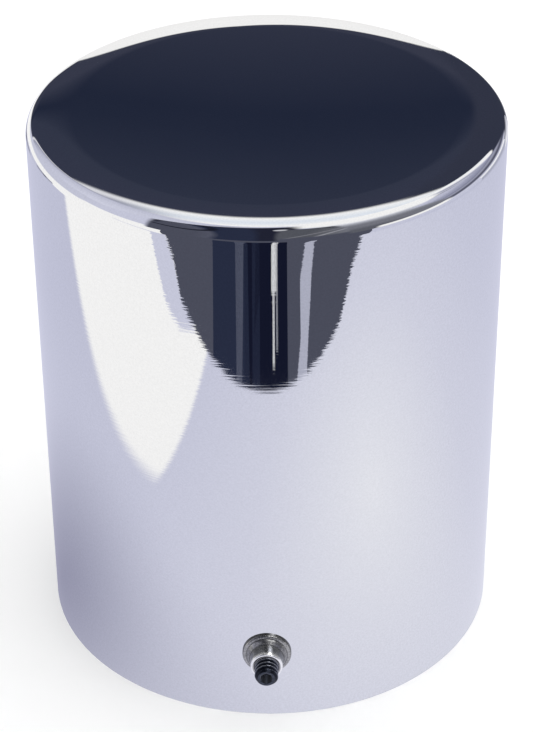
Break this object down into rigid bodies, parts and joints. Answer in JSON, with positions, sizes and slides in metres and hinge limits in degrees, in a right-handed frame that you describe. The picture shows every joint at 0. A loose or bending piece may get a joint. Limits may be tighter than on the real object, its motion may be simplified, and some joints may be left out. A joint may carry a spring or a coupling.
{
  "type": "spin-on filter cover",
  "caption": "Chrome cup, closed on top and open below, that slips over a spin-on engine filter and is held by a socket set screw in a rivet nut near its rim.",
  "frame": {"origin": "centre of the open rim, where the filter goes in", "axes": "+Z along the cup's axis, from the open rim up to the closed top; the set screw points outwards along -Y; +X completes the right-handed frame"},
  "size_m": [0.0966, 0.105, 0.117],
  "materials": {
    "chrome_plate": "bright chrome plate over polished steel sheet, with a duller plated inside",
    "zinc_plate": "dull zinc-plated steel",
    "black_oxide": "black-oxide alloy steel, lightly oiled",
    "nylon": "natural white nylon, satin"
  },
  "bodies": {
    "cover": {"shell": "chrome_plate", "rivet_nut": "zinc_plate"},
    "tip": {"nylon_tip": "nylon"},
    "screw": {"set_screw": "black_oxide"}
  },
  "joints": [
    {"name": "screw_advance", "type": "slide", "parent": "cover", "child": "tip", "axis": [0, 1, 0], "range_m": [-0.0018, 0.0025]},
    {"name": "screw_turn", "type": "hinge", "parent": "tip", "child": "screw", "pos_m": [0, -0.053, 0.0169], "axis": [0, 1, 0], "range_deg": [-613, 851]}
  ],
  "couplings": [
    {"joint": "screw_turn", "follows": "screw_advance", "rad_per_m": 5936.9}
  ]
}
